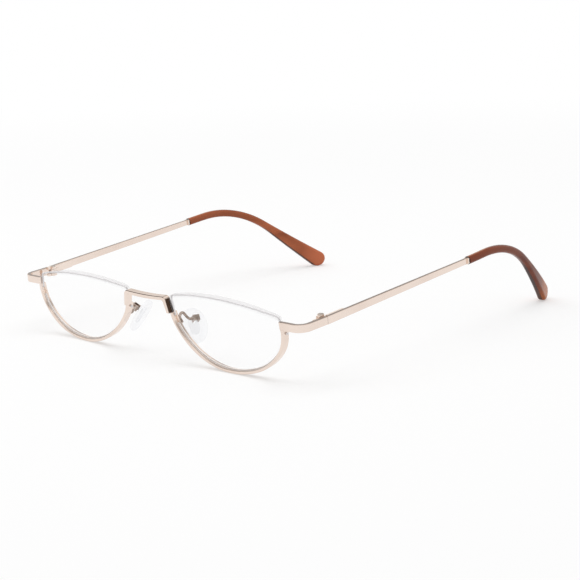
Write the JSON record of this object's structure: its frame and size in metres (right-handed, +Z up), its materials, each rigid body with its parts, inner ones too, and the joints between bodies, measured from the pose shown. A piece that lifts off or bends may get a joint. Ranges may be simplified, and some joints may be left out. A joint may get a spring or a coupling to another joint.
{
  "type": "half eye reading glasses",
  "caption": "Half eye reading glasses: flat-topped lenses in slim metal lower rims, held by a cord over the top, with folding temples, bent-down sleeve tips and rocking nose pads.",
  "frame": {"origin": "on the floor, midway between the two sides and midway between front and back of the open glasses", "axes": "+Z up, -Y is the way the front faces, +Y runs back along the open temples, +X is the wearer's left"},
  "size_m": [0.1362, 0.1478, 0.0286],
  "materials": {
    "metal": "polished pale rose gold plating",
    "lens": "clear polished lens resin",
    "cord": "clear nylon line",
    "liner": "clear nylon strip",
    "tip": "polished translucent brown acetate",
    "core": "clear polycarbonate",
    "pad": "clear silicone",
    "screw": "turned steel"
  },
  "bodies": {
    "front": {"bridge": "metal", "left_rim": "metal", "right_rim": "metal", "left_rim_liner": "liner", "right_rim_liner": "liner", "left_lens": "lens", "right_lens": "lens", "left_lens_cord": "cord", "right_lens_cord": "cord", "left_endpiece": "metal", "right_endpiece": "metal", "left_front_hinge": "metal", "right_front_hinge": "metal", "left_hinge_screw": "screw", "right_hinge_screw": "screw", "left_pad_arm": "metal", "right_pad_arm": "metal", "left_pad_box": "metal", "right_pad_box": "metal", "left_pad_screw": "screw", "right_pad_screw": "screw"},
    "left_arm": {"left_temple": "metal", "left_temple_hinge": "metal", "left_temple_tip": "tip"},
    "right_arm": {"right_temple": "metal", "right_temple_hinge": "metal", "right_temple_tip": "tip"},
    "left_pad": {"left_nose_pad": "pad", "left_pad_core": "core"},
    "right_pad": {"right_nose_pad": "pad", "right_pad_core": "core"}
  },
  "joints": [
    {"name": "left_temple_fold", "type": "hinge", "parent": "front", "child": "left_arm", "pos_m": [0.0637, -0.05905, 0.01923], "axis": [0, -0.0698, 0.9976], "range_deg": [0, 90]},
    {"name": "right_temple_fold", "type": "hinge", "parent": "front", "child": "right_arm", "pos_m": [-0.0637, -0.05905, 0.01923], "axis": [0, 0.0698, -0.9976], "range_deg": [0, 85.5]},
    {"name": "left_pad_rock", "type": "hinge", "parent": "front", "child": "left_pad", "pos_m": [0.01419, -0.0644, 0.01357], "axis": [-0.4226, -0.9063, 0], "range_deg": [-10, 10]},
    {"name": "right_pad_rock", "type": "hinge", "parent": "front", "child": "right_pad", "pos_m": [-0.01419, -0.0644, 0.01357], "axis": [0.4226, -0.9063, 0], "range_deg": [-10, 10]}
  ]
}
